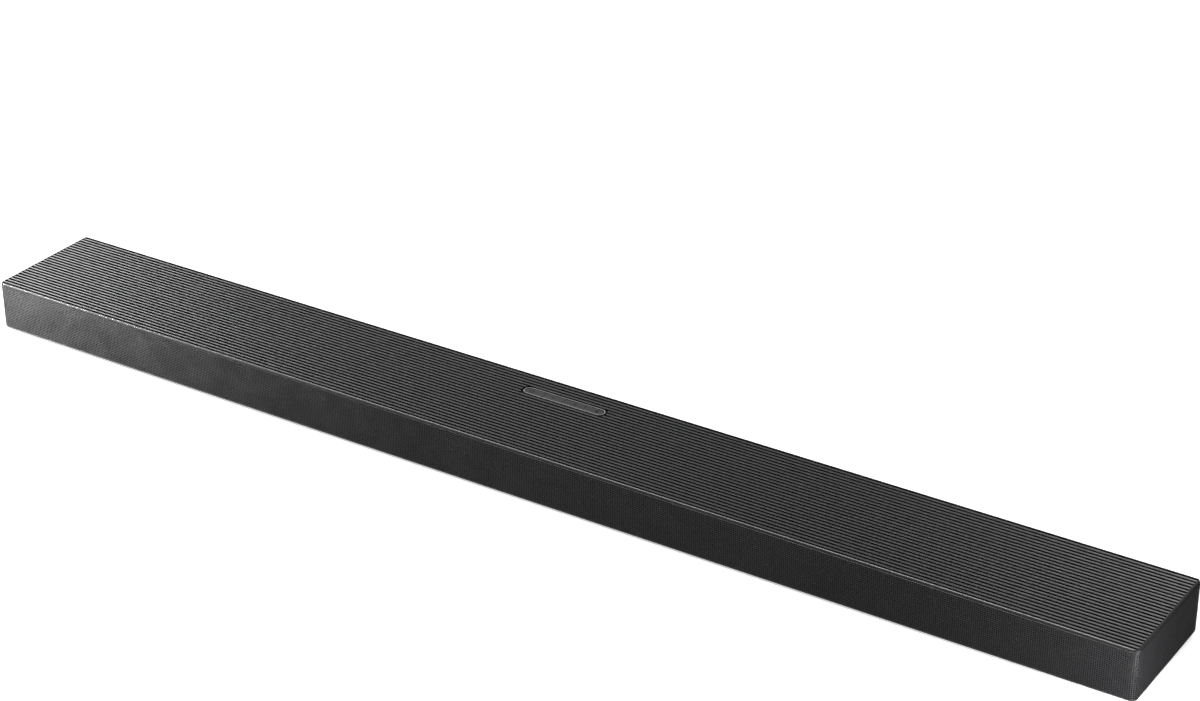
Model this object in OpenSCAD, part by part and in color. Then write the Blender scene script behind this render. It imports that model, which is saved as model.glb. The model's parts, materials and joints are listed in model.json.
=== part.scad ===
// Slim soundbar with a ribbed top, a perforated wrap-round grille and a strip of four keys.
// Millimetres. X runs along the length, the front faces -Y, Z is up, the feet stand on Z = 0.

/* [Body] */
// Overall length
body_l = 1160; // [1150:5:1180]
// Overall depth, front to back
body_d = 120; // [119:0.5:122]
// Overall height, feet included
body_h = 50; // [50:0.5:52]
// Radius of the two upright corners at the front, seen from above
corner_r = 6; // [4:0.5:8]
// Radius of the two upright corners at the back
rear_corner_r = 3.5; // [3:0.5:6]
// Gap between the floor and the chassis
foot_gap = 3.5; // [3:0.5:4]

/* [Ribbed top] */
// Number of ribs, counting the half ribs along the front and rear edges
rib_count = 28; // [26:2:30]
// Width of a rib
rib_w = 2.2; // [1.8:0.1:2.4]
// Height of the ribs above the groove floor
rib_h = 2; // [1.5:0.1:2.2]
// Distance from a rib's end to the end face
rib_end_gap = 2.6; // [2:0.2:4]
// Thickness of the cover under the grooves
deck_t = 2.2; // [2:0.1:2.4]

/* [Keys] */
// Length of the key strip with its rim
pill_l = 84; // [80:1:88]
// Width of the key strip with its rim
pill_w = 11.3; // [11:0.1:11.5]
// Width of the rim
rim_w = 1.3; // [1.2:0.1:1.4]
// Rib that the strip is centred on, counted from the front
pill_rib = 21; // [20:1:21]
// Travel of each key
key_travel = 0.4; // [0.2:0.1:0.4]

/* [Drivers] */
// Distance of the outer woofers from the middle
woofer_outer_x = 465; // [460:1:470]
// Distance of the inner woofers from the middle
woofer_inner_x = 75; // [72:1:78]
// Distance of the outer tweeters from the middle
tweeter_x = 538; // [536:1:539]
// Distance of the up-firing drivers from the middle
upfire_x = 395; // [393:1:397]
// Forward tilt of the up-firing drivers, degrees
upfire_tilt = 10; // [6:1:10]

/* [Connector bay] */
// Width of the bay
bay_w = 236; // [230:2:236]
// Height of the bay's ceiling above the floor that the bar stands on
bay_top = 32; // [30:1:32]
// Depth of the bay from the rear face
bay_d = 42; // [40:1:42]

/* [Wall bracket] */
// Distance between the bracket screws along the bar
bracket_x = 680; // [670:5:690]
// Distance between the bracket screws front to back
bracket_y = 40; // [36:1:44]

/* [Hidden] */
$fn = 64;
eps = 0.01;

// Heights
floor_z = foot_gap;
rim_z = floor_z + 1;
tray_z = floor_z + 2.5;
groove_z = body_h - rib_h;
rim_drop = 0.15;
rim_r = rib_end_gap - 0.2;
deck_z = groove_z - deck_t;
skirt_z = groove_z - 0.8;
deck_inset = 1.2;
shell_z0 = rim_z + 0.2;
shell_z1 = skirt_z - 0.2;

// Faces front to back
front_y = -body_d / 2;
rear_y = body_d / 2;
grille_t = 0.7;
scrim_t = 0.3;
scrim_y = front_y + grille_t + 0.1;
baffle_y = front_y + 8;
baffle_t = 3;
panel_t = 2.5;
panel_lip_t = 1;
panel_y0 = rear_y - 8.3;
grille_y1 = panel_y0 - 0.2;
end_plate_x = body_l / 2 - 9;
end_plate_t = 3;

// Ribs and key strip
rib_pitch = body_d / (rib_count - 1);
pill_y = front_y + pill_rib * rib_pitch;
pill_r = pill_w / 2;
pill_a = pill_l / 2 - pill_r;
pill_gap = 1.95;
key_gap = 0.3;
key_r = pill_r - rim_w - key_gap;
key_split = 21.5;
key_top = body_h - 0.3;
key_t = 2.4;
key_post_x = [-34, -11, 11, 34];
key_board_w = 120;
key_board_z = 40;
key_board_t = 1.6;
switch_z = key_board_z + key_board_t;
switch_w = 5.2;
switch_h = 1.6;
switch_floor_z = switch_z + 0.62;
plunger_z = switch_floor_z + key_travel + 0.08;
key_post_z = switch_z + 2.5;
mic_x = 55;
mic_y = pill_y - 1.5 * rib_pitch;

// Drivers: depths are measured back from the flange's front face
gasket_t = 0.6;
flange_t = 1.6;
flange_y = baffle_y - gasket_t - flange_t;
driver_z = (tray_z + deck_z) / 2;
woofer_a = 29.5;
woofer_r = 18.5;
woofer_depth = 13;
woofer_x = [-woofer_outer_x, -woofer_inner_x, woofer_inner_x, woofer_outer_x];
tweeter_xs = [-tweeter_x, 0, tweeter_x];
tweeter_r = 15;
dome_r = 9.5;
upfire_r = 31;
upfire_depth = 12;
upfire_y = 4;
upfire_z = 37;
upfire_bar_x = [-13, 0, 13];

// Display behind the grille
display_x = 300;
display_w = 50;
display_h = 14;

// Case screws: half of them, mirrored left to right
screw_xy = [[190, -44], [372, -44], [150, 50], [290, 50], [440, 50], [560, 50]];
boss_r = 4.6;
boss_z = 38;
head_z = 32;
head_r = 2.8;

// Bracket inserts and feet
insert_r = 2.78;
insert_bore_r = 1.65;
insert_l = 6.8;
foot_xy = [500, 44];
foot_a = 24;
foot_r = 6;

// Vents in the rear panel
vent_x = [165, -242];
vent_count = 12;
vent_pitch = 7;

// Connector bay
bay_y0 = rear_y - bay_d;
plate_t = 2;
io_board_z = tray_z + 4;
io_board_t = 1.6;
socket_z = io_board_z + io_board_t;
shell_t = 0.5;
socket_y = bay_y0 + 0.5;
hdmi_x = [-20, 15];
hdmi_size = [15, 12.5, 6];
usb_x = 48;
usb_size = [13.2, 14.5, 6];
optical_x = -70;
optical_size = [10, 10.8, 10.4];
optical_cavity = [8, 9.2, 8.6];
optical_wall = 0.8;
shutter_t = 0.8;
shutter_y = socket_y - 0.9;
shutter_z = socket_z + optical_size[2] - 1.6;
shutter_pin_r = 0.5;
inlet_x = 90;
inlet_z = socket_z + 8.4;
inlet_body = [24, 14];
inlet_flange = [28, 16.8];
inlet_flange_t = 1.2;
inlet_back = 16;
inlet_a = 4.6;
inlet_r = 4.4;
inlet_depth = 11;
inlet_pin_x = 4.3;

// Boards: [left, right, front, back]
main_plan = [-135, 135, -14, 15];
power_plan = [140, 290, -14, 42];
wireless_plan = [-230, -170, 0, 40];
side_board_z = tray_z + 3;
wireless_t = 1.2;
power_t = 1.6;
power_top = side_board_z + power_t + 0.02;

// Parts on the main board: [x, y, width, depth, height]
main_chips = [[-110, -3, 12, 12, 1.4], [-92, -3, 12, 12, 1.4], [29, -4, 18, 14, 1.6]];
main_coils = [for (x = [106, 114, 122], y = [-8, 4]) [x, y, 5, 6, 3]];
main_plugs = [[0, -11, 14, 4, 3.5], [-124, -9, 12, 6, 5]];
main_can_x = [50, 58, 66];

// Speaker leads
trunk_y = -30;
trunk_z = tray_z + 1.8;
trunk_r = 1.5;
lead_r = 1;

// ---- Shared shapes ----

// Outline of the body seen from above, drawn in by a margin
module plan(inset = 0) {
    x = body_l / 2 - inset;
    y = body_d / 2 - inset;
    front_r = corner_r - inset;
    back_r = rear_corner_r - inset;
    square([2 * (x - front_r), 2 * y], center = true);
    translate([-x, front_r - y]) square([2 * x, 2 * y - front_r - back_r]);
    translate([back_r - x, 0]) square([2 * (x - back_r), y]);
    for (s = [-1, 1]) {
        translate([s * (x - front_r), front_r - y]) circle(front_r);
        translate([s * (x - back_r), y - back_r]) circle(back_r);
    }
}

module racetrack(a, r) {
    if (a > 0) square([2 * a, 2 * r], center = true);
    for (s = a > 0 ? [-1, 1] : [0]) translate([s * a, 0]) circle(r);
}

// Sweeps a profile round a racetrack: x is the distance from its centre line, y is the height
module racetrack_sweep(a) {
    if (a == 0) {
        rotate_extrude() children();
    } else {
        for (s = [-1, 1]) translate([s * a, 0, 0]) rotate([0, 0, -90 * s])
            rotate_extrude(angle = 180) children();
        for (s = [0, 1]) mirror([0, s, 0]) rotate([90, 0, 90])
            translate([0, 0, -a]) linear_extrude(2 * a) children();
    }
}

module box(x0, x1, y0, y1, z0, z1) {
    translate([x0, y0, z0]) cube([x1 - x0, y1 - y0, z1 - z0]);
}

// Block standing at height z, from [x, y, width, depth, height]
module block(p, z) {
    translate([p[0] - p[2] / 2, p[1] - p[3] / 2, z]) cube([p[2], p[3], p[4]]);
}

// Flat board at height z, from [left, right, front, back]
module board(p, z, t) {
    box(p[0], p[1], p[2], p[3], z, z + t);
}

module both_sides() {
    for (s = [0, 1]) mirror([s, 0, 0]) children();
}

// Places a driver's own frame: +Z points at the listener and Z = 0 is the front of its flange
module at_front(x) {
    translate([x, flange_y, driver_z]) rotate([90, 0, 0]) children();
}

module at_upfire(side) {
    translate([side * upfire_x, upfire_y, upfire_z]) rotate([upfire_tilt, 0, 0]) children();
}

module at_screws() {
    both_sides() for (p = screw_xy) translate([p[0], p[1], 0]) children();
}

module at_brackets() {
    for (sx = [-1, 1], sy = [-1, 1]) translate([sx * bracket_x / 2, sy * bracket_y / 2, 0]) children();
}

// ---- Case ----

module rib_rows() {
    for (i = [0 : rib_count - 1])
        translate([0, front_y + i * rib_pitch]) square([body_l - 2 * rib_end_gap, rib_w], center = true);
}

// Opening under the ribs above one up-firing driver, with cross-bars that carry the ribs
module sound_opening() {
    translate([upfire_x, upfire_y]) difference() {
        circle(upfire_r - 5);
        for (x = upfire_bar_x) translate([x - 1, -upfire_r]) square([2, 2 * upfire_r]);
    }
}

// Rounded rim that closes the grooves at one end, a little lower than the ribs
module end_rim() {
    x = body_l / 2 - rib_end_gap;
    intersection() {
        translate([x, 0, body_h - rim_drop - rim_r]) rotate([90, 0, 0])
            cylinder(r = rim_r, h = body_d, center = true);
        box(x - 0.1, body_l / 2, front_y, rear_y, groove_z - eps, body_h);
        translate([0, 0, groove_z - 1]) linear_extrude(rib_h + 2) plan(0.1);
    }
}

module top_cover() {
    color([0.16, 0.16, 0.17]) difference() {
        union() {
            translate([0, 0, groove_z - eps]) linear_extrude(rib_h + eps) difference() {
                intersection() {
                    plan(0.1);
                    rib_rows();
                }
                translate([0, pill_y]) racetrack(pill_a, pill_r + pill_gap);
            }
            both_sides() end_rim();
            translate([0, 0, skirt_z]) linear_extrude(groove_z - skirt_z) plan();
            translate([0, 0, deck_z]) linear_extrude(skirt_z - deck_z + eps) plan(deck_inset);
            at_screws() translate([0, 0, boss_z]) cylinder(r = 3.6, h = deck_z - boss_z + eps);
        }
        at_screws() translate([0, 0, boss_z - 1]) cylinder(r = 1.3, h = deck_z - boss_z, $fn = 32);
        translate([0, pill_y, deck_z - 1]) linear_extrude(deck_t + 2) racetrack(pill_a, pill_r - 0.2);
        both_sides() translate([0, 0, deck_z - 1]) linear_extrude(deck_t + 1) sound_opening();
        both_sides() translate([mic_x, mic_y, deck_z - 1]) cylinder(r = 0.6, h = deck_t + 2, $fn = 24);
    }
}

module front_grille() {
    color([0.11, 0.11, 0.12]) translate([0, 0, shell_z0]) linear_extrude(shell_z1 - shell_z0) difference() {
        plan();
        plan(grille_t);
        translate([-body_l, grille_y1]) square([2 * body_l, body_d]);
    }
}

module grille_scrim() {
    reach = body_l / 2 - 8;
    color([0.03, 0.03, 0.03]) box(-reach, reach, scrim_y, scrim_y + scrim_t, shell_z0 + 1, shell_z1 - 1);
}

module front_baffle() {
    reach = end_plate_x - 0.2;
    color([0.06, 0.06, 0.06]) difference() {
        union() {
            box(-reach, reach, baffle_y, baffle_y + baffle_t, tray_z, deck_z);
            both_sides() box(reach - 3, reach, scrim_y + scrim_t + 0.2, baffle_y, tray_z, deck_z);
        }
        for (x = woofer_x) at_front(x)
            translate([0, 0, -20]) linear_extrude(40) racetrack(woofer_a, woofer_r - 2.4);
        for (x = tweeter_xs) at_front(x) translate([0, 0, -20]) cylinder(r = tweeter_r - 2.4, h = 40);
        translate([display_x, baffle_y, driver_z]) cube([display_w, 4 * baffle_t, display_h], center = true);
    }
}

module feet_outline(margin = 0) {
    for (sx = [-1, 1], sy = [-1, 1])
        translate([sx * foot_xy[0], sy * foot_xy[1]]) racetrack(foot_a, foot_r + margin);
}

// Posts under the corners of a board, up to height z
module standoffs(p, z) {
    for (x = [p[0] + 4, p[1] - 4], y = [p[2] + 4, p[3] - 4])
        translate([x, y, tray_z - eps]) cylinder(r = 2.5, h = z - tray_z + eps, $fn = 32);
}

module bottom_chassis() {
    half = bay_w / 2;
    color([0.05, 0.05, 0.05]) difference() {
        union() {
            translate([0, 0, floor_z]) linear_extrude(rim_z - floor_z) plan(0.3);
            translate([0, 0, rim_z - eps]) linear_extrude(tray_z - rim_z + eps) plan(panel_t + 0.2);
            at_screws() translate([0, 0, tray_z - eps]) cylinder(r = boss_r, h = boss_z - tray_z);
            at_brackets() translate([0, 0, tray_z - eps]) cylinder(r = 5, h = 6);
            box(-half - 2, half + 2, bay_y0 - plate_t, rear_y - panel_t - 0.2, rim_z, bay_top + 2);
            standoffs(main_plan, io_board_z);
            standoffs(power_plan, side_board_z);
            standoffs(wireless_plan, side_board_z);
            both_sides() translate([38, pill_y, bay_top + 1])
                cylinder(r = 2.5, h = key_board_z - bay_top - 1, $fn = 32);
        }
        box(-half, half, bay_y0 - plate_t - 1, rear_y + 1, tray_z, bay_top);
        box(-half, half, bay_y0, rear_y + 1, floor_z - 1, bay_top);
        translate([0, 0, floor_z - 1]) linear_extrude(2) feet_outline(0.1);
        at_screws() translate([0, 0, floor_z - 1]) cylinder(r = 3.2, h = head_z - floor_z + 1);
        at_screws() translate([0, 0, head_z - 1]) cylinder(r = 1.7, h = boss_z - head_z + 2, $fn = 32);
        at_brackets() translate([0, 0, floor_z - 1]) cylinder(r = insert_r + 0.02, h = insert_l + 1.2);
    }
}

module vent_slots() {
    for (i = [0 : vent_count - 1]) translate([i * vent_pitch, 0, 0])
        rotate([90, 0, 0]) linear_extrude(20, center = true) rotate(90) racetrack(6, 1.2);
}

module rear_panel() {
    half = bay_w / 2;
    color([0.05, 0.05, 0.05]) difference() {
        translate([0, 0, shell_z0]) linear_extrude(shell_z1 - shell_z0) intersection() {
            difference() {
                plan();
                plan(panel_t);
            }
            translate([-body_l, panel_y0]) square([2 * body_l, body_d]);
        }
        translate([0, 0, deck_z - 0.2]) linear_extrude(body_h) plan(panel_lip_t);
        box(-half, half, rear_y - 10, rear_y + 10, floor_z - 1, bay_top);
        for (x = vent_x) translate([x, rear_y, driver_z]) vent_slots();
    }
}

module end_plate() {
    color([0.06, 0.06, 0.06]) difference() {
        box(end_plate_x, end_plate_x + end_plate_t, baffle_y, rear_y - panel_t - 0.2, tray_z, deck_z);
        for (y = [-24, 24])
            box(end_plate_x - 1, end_plate_x + end_plate_t + 1, y - 18, y + 18, tray_z + 8, deck_z - 8);
    }
}

module end_plate_left() {
    mirror([1, 0, 0]) end_plate();
}

module end_plate_right() {
    end_plate();
}

module rubber_feet() {
    color([0.03, 0.03, 0.03]) linear_extrude(floor_z + 1) feet_outline();
}

module case_screws() {
    color([0.5, 0.5, 0.52]) at_screws() difference() {
        union() {
            translate([0, 0, head_z - 2]) cylinder(r = head_r, h = 2, $fn = 32);
            translate([0, 0, head_z - eps]) cylinder(r = 1.25, h = 10.5, $fn = 24);
        }
        for (a = [0, 90]) rotate([0, 0, a]) translate([-head_r / 2, -0.3, head_z - 3]) cube([head_r, 0.6, 2]);
    }
}

module mount_inserts() {
    color([0.75, 0.6, 0.3]) at_brackets() difference() {
        translate([0, 0, floor_z + 0.1]) cylinder(r = insert_r, h = insert_l);
        translate([0, 0, floor_z - 1]) cylinder(r = insert_bore_r, h = insert_l + 3, $fn = 48);
    }
}

// ---- Connector bay ----

// Opening in the connector plate for a socket of width w and height h that stands at height z
module socket_opening(x, z, w, h) {
    clear = 0.15;
    box(x - w / 2 - clear, x + w / 2 + clear, 0, rear_y, z - clear, z + h + clear);
}

module io_plate() {
    half = bay_w / 2 - 0.1;
    color([0.08, 0.08, 0.08]) difference() {
        box(-half, half, bay_y0 - plate_t, bay_y0, tray_z + 0.1, bay_top - 0.1);
        for (x = hdmi_x) socket_opening(x, socket_z, hdmi_size[0], hdmi_size[2]);
        socket_opening(usb_x, socket_z, usb_size[0], usb_size[2]);
        socket_opening(optical_x, socket_z, optical_size[0], optical_size[2]);
        socket_opening(inlet_x, inlet_z - inlet_body[1] / 2, inlet_body[0], inlet_body[1]);
    }
}

// Upright block of the power inlet between two depths, centred on its middle line
module inlet_block(size, y0, y1) {
    translate([inlet_x - size[0] / 2, y0, inlet_z - size[1] / 2]) cube([size[0], y1 - y0, size[1]]);
}

module power_inlet() {
    face_y = bay_y0 + inlet_flange_t;
    floor_y = face_y - inlet_depth;
    color([0.05, 0.05, 0.05]) difference() {
        union() {
            inlet_block(inlet_body, bay_y0 - inlet_back, bay_y0 + 1);
            inlet_block(inlet_flange, bay_y0 + 0.1, face_y);
        }
        translate([inlet_x, floor_y, inlet_z]) rotate([-90, 0, 0])
            linear_extrude(inlet_depth + 1) racetrack(inlet_a, inlet_r);
    }
    color([0.7, 0.65, 0.5]) for (s = [-1, 1])
        translate([inlet_x + s * inlet_pin_x, floor_y - 1, inlet_z]) rotate([-90, 0, 0])
            cylinder(r = 1.2, h = inlet_depth - 1.5, $fn = 32);
}

// Open metal shell with a contact tongue; its mouth faces +Y
module shell_socket(size, tongue, tongue_z) {
    inside = [size[0] - 2 * shell_t, size[1], size[2] - 2 * shell_t];
    difference() {
        translate([-size[0] / 2, -size[1], 0]) cube(size);
        translate([-inside[0] / 2, 2 - size[1], shell_t]) cube(inside);
    }
    translate([-tongue[0] / 2, 1.5 - size[1], tongue_z]) cube(tongue);
}

module hdmi_sockets() {
    color([0.7, 0.7, 0.72]) for (x = hdmi_x) translate([x, socket_y, socket_z])
        shell_socket(hdmi_size, tongue = [11.5, 8.5, 1], tongue_z = 2.5);
}

module usb_socket() {
    color([0.7, 0.7, 0.72]) translate([usb_x, socket_y, socket_z])
        shell_socket(usb_size, tongue = [11, 9.5, 1.9], tongue_z = 3.2);
}

// Rod along the shutter's hinge line
module shutter_rod(r, l) {
    translate([optical_x - l / 2, shutter_y, shutter_z]) rotate([0, 90, 0]) cylinder(r = r, h = l, $fn = 32);
}

module optical_socket() {
    color([0.05, 0.05, 0.05]) difference() {
        translate([optical_x - optical_size[0] / 2, socket_y - optical_size[1], socket_z])
            cube(optical_size);
        translate([optical_x - optical_cavity[0] / 2, socket_y - optical_cavity[1], socket_z + optical_wall])
            cube(optical_cavity + [0, 1, 0]);
        shutter_rod(shutter_pin_r + 0.05, optical_size[0] + 2);
    }
}

module optical_shutter() {
    w = optical_cavity[0] - 0.6;
    drop = shutter_z - socket_z - optical_wall - 0.4;
    color([0.1, 0.1, 0.1]) {
        translate([optical_x - w / 2, shutter_y - shutter_t / 2, shutter_z - drop])
            cube([w, shutter_t, drop]);
        shutter_rod(shutter_pin_r, optical_size[0] - 0.4);
    }
}

// ---- Electronics ----

module main_board() {
    color([0.05, 0.2, 0.12]) board(main_plan, io_board_z, io_board_t);
}

module board_chips() {
    top = socket_z + 0.02;
    color([0.1, 0.1, 0.1]) {
        for (p = concat(main_chips, main_coils)) block(p, top);
        for (x = main_can_x) translate([x, -8, top]) cylinder(r = 3, h = 6, $fn = 32);
    }
    color([0.85, 0.85, 0.8]) for (p = main_plugs) block(p, top);
}

module heat_sink() {
    base = socket_z + 0.05;
    fin_pitch = 2.5;
    color([0.55, 0.56, 0.58]) {
        block([-44, -4, 32, 16, 3], base);
        for (i = [0 : 6]) block([-44, -11.5 + i * fin_pitch, 32, 1, 10], base + 3 - eps);
    }
}

// Flat lead from the key board, over the connector plate and down to the main board
module ribbon_cable() {
    t = 0.4;
    y1 = pill_y - 7;
    y0 = -11;
    z1 = key_board_z - 0.2;
    z0 = socket_z + 3.6;
    color([0.8, 0.8, 0.78]) translate([-6, 0, 0]) rotate([90, 0, 90]) linear_extrude(12)
        polygon([[y1, z1], [y0, z1], [y0, z0], [y0 + t, z0], [y0 + t, z1 - t], [y1, z1 - t]]);
}

module wireless_module() {
    color([0.05, 0.2, 0.12]) board(wireless_plan, side_board_z, wireless_t);
    color([0.7, 0.7, 0.72]) block([-200, 20, 30, 24, 2.8], side_board_z + wireless_t - eps);
}

module power_board() {
    color([0.2, 0.25, 0.1]) board(power_plan, side_board_z, power_t);
}

module power_transformer() {
    color([0.75, 0.7, 0.3]) block([215, 15, 30, 26, 21.4], power_top);
    color([0.1, 0.1, 0.1]) block([215, 15, 38, 14, 19.4], power_top);
}

module power_capacitors() {
    color([0.1, 0.1, 0.25]) {
        for (x = [250, 270]) translate([x, 14, power_top]) cylinder(r = 8, h = 25);
        for (x = [158, 172]) translate([x, 22, power_top]) cylinder(r = 5, h = 16, $fn = 48);
    }
}

module display_board() {
    board_y = baffle_y + 4;
    board_size = [display_w + 10, 1.2, display_h + 6];
    color([0.05, 0.2, 0.12]) translate([display_x - board_size[0] / 2, board_y, driver_z - board_size[2] / 2])
        cube(board_size);
    color([0.8, 0.8, 0.8]) for (i = [-2 : 2])
        translate([display_x + i * 7 - 2, board_y - 0.8, driver_z - 2]) cube([4, 0.8 + eps, 4]);
}

module display_window() {
    w = display_w - 0.2;
    h = display_h - 0.2;
    color([0.1, 0.1, 0.12]) translate([display_x - w / 2, baffle_y + 0.2, driver_z - h / 2])
        cube([w, 1.8, h]);
}

// Straight stretch of lead from one point to another
module wire(p, q, r) {
    d = q - p;
    l = norm(d);
    translate(p) rotate([0, acos(d[2] / l), atan2(d[1], d[0])]) cylinder(r = r, h = l, $fn = 24);
}

// Lead from the trunk to depth y and then up to height z
module branch(x, y, z) {
    past = y > trunk_y ? lead_r : -lead_r;
    wire([x, trunk_y, trunk_z], [x, y + past, trunk_z], lead_r);
    wire([x, y, trunk_z], [x, y, z], lead_r);
}

module speaker_harness() {
    reach = tweeter_x + lead_r;
    color([0.12, 0.12, 0.12]) {
        wire([-reach, trunk_y, trunk_z], [reach, trunk_y, trunk_z], trunk_r);
        for (x = woofer_x) branch(x + 20, flange_y + 12, driver_z - woofer_r + 4.6);
        for (x = tweeter_xs) branch(x, flange_y + 7, driver_z - 12.3);
        for (s = [-1, 1]) branch(s * (upfire_x - 20), upfire_y - 21.6, upfire_z - 18);
    }
}

// ---- Keys ----

module control_bezel() {
    skirt = pill_r - 0.3;
    color([0.2, 0.2, 0.21]) translate([0, pill_y, 0]) racetrack_sweep(pill_a) polygon([
        [pill_r - rim_w, deck_z - 1.5],
        [skirt, deck_z - 1.5],
        [skirt, groove_z + 0.05],
        [pill_r, groove_z + 0.05],
        [pill_r, body_h - 0.5],
        [pill_r - 0.5, body_h],
        [pill_r - rim_w + 0.3, body_h],
        [pill_r - rim_w, body_h - 0.3]
    ]);
}

// The stretch of the key strip between two splits
module key_cap(x0, x1, post_x) {
    cap_a = pill_l / 2 - rim_w - key_gap - key_r;
    color([0.17, 0.17, 0.18]) translate([0, pill_y, 0]) {
        translate([0, 0, key_top - key_t]) linear_extrude(key_t) intersection() {
            racetrack(cap_a, key_r);
            translate([x0, -key_r - 1]) square([x1 - x0, 2 * key_r + 2]);
        }
        translate([post_x, 0, key_post_z])
            cylinder(r = 1.5, h = key_top - key_t - key_post_z + eps, $fn = 32);
    }
}

module key_power() {
    key_cap(-pill_l, -key_split - key_gap / 2, key_post_x[0]);
}

module key_minus() {
    key_cap(-key_split + key_gap / 2, -key_gap / 2, key_post_x[1]);
}

module key_plus() {
    key_cap(key_gap / 2, key_split - key_gap / 2, key_post_x[2]);
}

module key_mic() {
    key_cap(key_split + key_gap / 2, pill_l, key_post_x[3]);
}

module plunger(i) {
    color([0.85, 0.85, 0.85]) translate([key_post_x[i], pill_y, plunger_z])
        cylinder(r = 1.2, h = key_post_z - plunger_z - 0.02, $fn = 32);
}

module tact_switches() {
    color([0.15, 0.15, 0.15]) for (x = key_post_x) translate([x, pill_y, switch_z + 0.02]) difference() {
        translate([-switch_w / 2, -switch_w / 2, 0]) cube([switch_w, switch_w, switch_h]);
        translate([0, 0, switch_floor_z - switch_z - 0.02]) cylinder(r = 1.28, h = 3, $fn = 32);
    }
}

module control_board() {
    half = key_board_w / 2;
    color([0.05, 0.2, 0.12]) board([-half, half, pill_y - 9, pill_y + 6], key_board_z, key_board_t);
}

module microphones() {
    color([0.75, 0.75, 0.7]) both_sides() block([mic_x, mic_y, 4, 3, 1.08], switch_z + 0.02);
}

// ---- Drivers, each in its own frame ----

module gasket(a, r) {
    translate([0, 0, -flange_t - gasket_t + 0.02]) linear_extrude(gasket_t - 0.04) difference() {
        racetrack(a, r - 0.2);
        racetrack(a, r - 2.2);
    }
}

module driver_gaskets() {
    color([0.04, 0.04, 0.04]) {
        for (x = woofer_x) at_front(x) gasket(woofer_a, woofer_r);
        for (x = tweeter_xs) at_front(x) gasket(0, tweeter_r);
    }
}

// Flange, side wall and back plate in one pressing
module basket(a, r, depth) {
    racetrack_sweep(a) polygon([
        [r, 0], [r, -flange_t], [r - 2.6, -flange_t], [r - 5, -depth], [r - 6, -depth],
        [r - 3.6, -flange_t], [r - 3.6, -flange_t + 0.5], [r - 1.6, -flange_t + 0.5], [r - 1.6, 0]
    ]);
    translate([0, 0, -depth]) linear_extrude(1) difference() {
        racetrack(a, r - 5);
        circle(8);
    }
}

// Ring magnet with its yoke and pole; the voice coil moves in the gap round the pole
module motor(ring_r, gap_r, pole_r, depth, h) {
    translate([0, 0, -depth]) {
        translate([0, 0, -h]) difference() {
            cylinder(r = ring_r, h = h - 0.05);
            translate([0, 0, 2]) cylinder(r = gap_r, h = h);
        }
        translate([0, 0, -h + 1]) cylinder(r = pole_r, h = h - 1);
    }
}

// Half-roll suspension between the cone and the basket's ledge
module surround(a, r) {
    ledge_z = -flange_t + 0.55;
    roll_x = r - 4.4;
    racetrack_sweep(a) {
        intersection() {
            difference() {
                translate([roll_x, ledge_z]) circle(1.5, $fn = 32);
                translate([roll_x, ledge_z]) circle(1.2, $fn = 32);
            }
            translate([roll_x - 2, ledge_z]) square([4, 2]);
        }
        translate([roll_x + 1.2, ledge_z]) square([1.5, 0.3]);
        translate([roll_x - 2.2, ledge_z]) square([1, 0.3]);
    }
}

module cone(a, r, depth, coil_r, coil_end) {
    edge = r - 6.2;
    edge_z = -flange_t + 0.4;
    neck = a > 0 ? 3 : coil_r + 0.8;
    neck_z = edge_z - depth;
    racetrack_sweep(a) polygon([
        [0, neck_z], [neck, neck_z], [edge, edge_z],
        [edge, edge_z - 0.5], [neck + 0.3, neck_z - 0.6], [0, neck_z - 0.6]
    ]);
    translate([0, 0, -coil_end]) difference() {
        cylinder(r = coil_r + 0.25, h = coil_end + neck_z - 0.5);
        translate([0, 0, -1]) cylinder(r = coil_r - 0.25, h = coil_end);
    }
}

module woofer_baskets() {
    color([0.15, 0.15, 0.15]) for (x = woofer_x) at_front(x) basket(woofer_a, woofer_r, woofer_depth);
}

module woofer_magnets() {
    color([0.3, 0.3, 0.32]) for (x = woofer_x) at_front(x)
        motor(ring_r = 14, gap_r = 7.4, pole_r = 5.6, depth = woofer_depth, h = 11);
}

module woofer_surrounds() {
    color([0.05, 0.05, 0.05]) for (x = woofer_x) at_front(x) surround(woofer_a, woofer_r);
}

module woofer_cone(i) {
    color([0.1, 0.1, 0.1]) at_front(woofer_x[i])
        cone(woofer_a, woofer_r, depth = 5.5, coil_r = 6.5, coil_end = woofer_depth + 3.5);
}

module tweeter_plates() {
    throat_r = dome_r + 0.6;
    color([0.08, 0.08, 0.08]) for (x = tweeter_xs) at_front(x) rotate_extrude() polygon([
        [tweeter_r, -0.4], [tweeter_r, -flange_t], [throat_r, -flange_t],
        [throat_r, -1], [throat_r + 2, 0], [tweeter_r - 0.4, 0]
    ]);
}

module tweeter_magnets() {
    color([0.3, 0.3, 0.32]) for (x = tweeter_xs) at_front(x)
        motor(ring_r = 12, gap_r = 9.4, pole_r = 7.6, depth = flange_t, h = 10);
}

module tweeter_dome(i) {
    cap_r = 14;
    cap_z = -flange_t - 10.2;
    color([0.5, 0.5, 0.52]) at_front(tweeter_xs[i]) {
        rotate_extrude() intersection() {
            difference() {
                translate([0, cap_z]) circle(cap_r);
                translate([0, cap_z]) circle(cap_r - 0.4);
            }
            translate([0, -flange_t + 0.05]) square([dome_r - 0.4, 6]);
        }
        translate([0, 0, -flange_t - 3]) difference() {
            cylinder(r = dome_r - 0.5, h = 3.4);
            translate([0, 0, -1]) cylinder(r = dome_r - 1.1, h = 5);
        }
    }
}

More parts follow.
